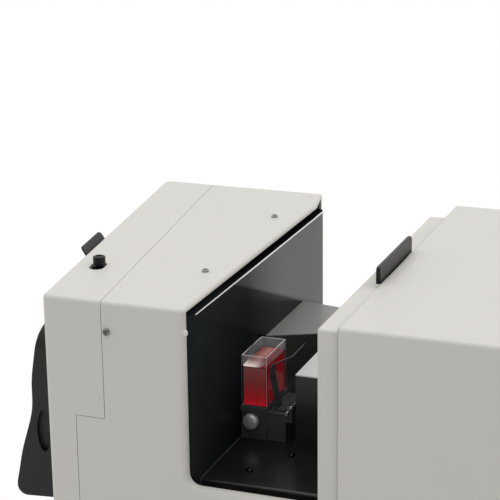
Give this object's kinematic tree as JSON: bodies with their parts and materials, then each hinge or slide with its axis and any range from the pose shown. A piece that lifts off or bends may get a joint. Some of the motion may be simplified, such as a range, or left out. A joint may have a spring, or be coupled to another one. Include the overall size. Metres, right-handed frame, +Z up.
{
  "type": "benchtop sphere colorimeter",
  "caption": "Benchtop sphere colorimeter with a slanted sample port, a spring sample clamp, a transmission compartment with a cell, and a sliding cover.",
  "frame": {"origin": "under the middle of the whole object's box, on the plane the feet stand on", "axes": "+X from the sample port at the front to the power inlet at the rear, -Y to the near side, +Z up"},
  "size_m": [0.643, 0.3646, 0.3312],
  "materials": {
    "board_green": "satin",
    "bright_aluminium": "satin",
    "clamp_black": "satin",
    "clear_glass": "polished",
    "compartment_black": "gloss",
    "cowl_black": "satin",
    "deck_black": "satin",
    "foam_black": "matte",
    "grey_plastic": "satin",
    "handle_black": "satin",
    "inlet_black": "satin",
    "mirror_glass": "polished",
    "pan_metal": "satin",
    "panel_grey": "satin",
    "plate_white": "matte",
    "red_liquid": "polished",
    "rubber_black": "matte",
    "screw_steel": "satin",
    "shell_white": "satin",
    "sphere_white": "matte",
    "spring_steel": "satin",
    "thumb_steel": "polished"
  },
  "bodies": {
    "chassis": {"base_pan": "pan_metal", "rubber_feet": "rubber_black", "optics_deck": "deck_black", "front_cap": "shell_white", "main_cover": "shell_white", "rear_housing": "shell_white", "rear_panel": "panel_grey", "pan_screws": "screw_steel", "compartment_wall": "compartment_black", "compartment_floor": "compartment_black", "light_seal": "foam_black", "reference_duct": "compartment_black", "lens_box": "compartment_black", "lens_box_lid": "bright_aluminium", "beam_windows": "clear_glass", "cell_holder": "compartment_black", "cell_seat": "compartment_black", "cell_clamp_pin": "thumb_steel", "cell_clamp_spring": "spring_steel", "cover_rails": "bright_aluminium", "port_cowl": "cowl_black", "port_plate": "plate_white", "sample_clamp_pin": "screw_steel", "sample_clamp_spring": "spring_steel", "lever_guide": "grey_plastic", "sphere_front": "sphere_white", "sphere_rear": "sphere_white", "sphere_cradle": "grey_plastic", "sphere_bolts": "screw_steel", "beam_tube": "deck_black", "lamp_housing": "bright_aluminium", "flash_lamp": "clear_glass", "relay_barrel": "deck_black", "relay_lens": "clear_glass", "spectrometer_case": "bright_aluminium", "spectrometer_lid": "bright_aluminium", "collimating_mirror": "mirror_glass", "diffraction_grating": "mirror_glass", "detector_board": "board_green", "main_board": "board_green", "power_supply": "panel_grey", "power_inlet": "inlet_black", "power_switch": "inlet_black", "data_port": "thumb_steel", "fan_frame": "inlet_black"},
    "cover": {"sliding_cover": "shell_white", "cover_handle": "handle_black", "handle_screws": "screw_steel", "cover_runners": "grey_plastic"},
    "shutter": {"port_shutter": "clamp_black"},
    "clamp": {"sample_clamp": "cowl_black", "sample_clamp_pad": "rubber_black"},
    "lever": {"lever_knob": "handle_black", "lever_rod": "screw_steel"},
    "cell_lever": {"cell_clamp": "clamp_black"},
    "thumb": {"thumb_screw": "thumb_steel"},
    "cell": {"sample_cell": "clear_glass", "sample_liquid": "red_liquid"},
    "rocker": {"power_rocker": "inlet_black"},
    "rotor": {"fan_rotor": "inlet_black"}
  },
  "joints": [
    {"name": "cover_slide", "type": "slide", "parent": "chassis", "child": "cover", "axis": [-1, 0, 0], "range_m": [0, 0.1048]},
    {"name": "shutter_slide", "type": "slide", "parent": "chassis", "child": "shutter", "axis": [0, 0, 1], "range_m": [0, 0.052]},
    {"name": "sample_clamp_hinge", "type": "hinge", "parent": "chassis", "child": "clamp", "pos_m": [-0.29541, -0.04829, 0.141], "axis": [0.1392, -0.9903, 0], "range_deg": [0, 75], "stiffness_Nm_per_rad": 0.12, "springref_deg": -40.11, "deforming": ["sample_clamp_spring"]},
    {"name": "specular_lever_slide", "type": "slide", "parent": "chassis", "child": "lever", "axis": [0.1392, -0.9903, 0], "range_m": [0, 0.008]},
    {"name": "cell_clamp_hinge", "type": "hinge", "parent": "chassis", "child": "cell_lever", "pos_m": [-0.07303, -0.0615, 0.197], "axis": [0, 1, 0], "range_deg": [0, 12], "stiffness_Nm_per_rad": 0.02, "springref_deg": -20.05, "deforming": ["cell_clamp_spring"]},
    {"name": "thumb_screw_turn", "type": "hinge", "parent": "chassis", "child": "thumb", "pos_m": [-0.10512, -0.067, 0.1855], "axis": [0, 1, 0], "range_deg": [0, 360]},
    {"name": "cell_lift", "type": "slide", "parent": "chassis", "child": "cell", "axis": [0, 0, 1], "range_m": [0, 0.06]},
    {"name": "power_rocker_hinge", "type": "hinge", "parent": "chassis", "child": "rocker", "pos_m": [0.31448, -0.08, 0.054], "axis": [0, 1, 0], "range_deg": [-14, 0]},
    {"name": "fan_spin", "type": "hinge", "parent": "chassis", "child": "rotor", "pos_m": [0.30948, 0.11, 0.104], "axis": [1, 0, 0], "continuous": true}
  ]
}
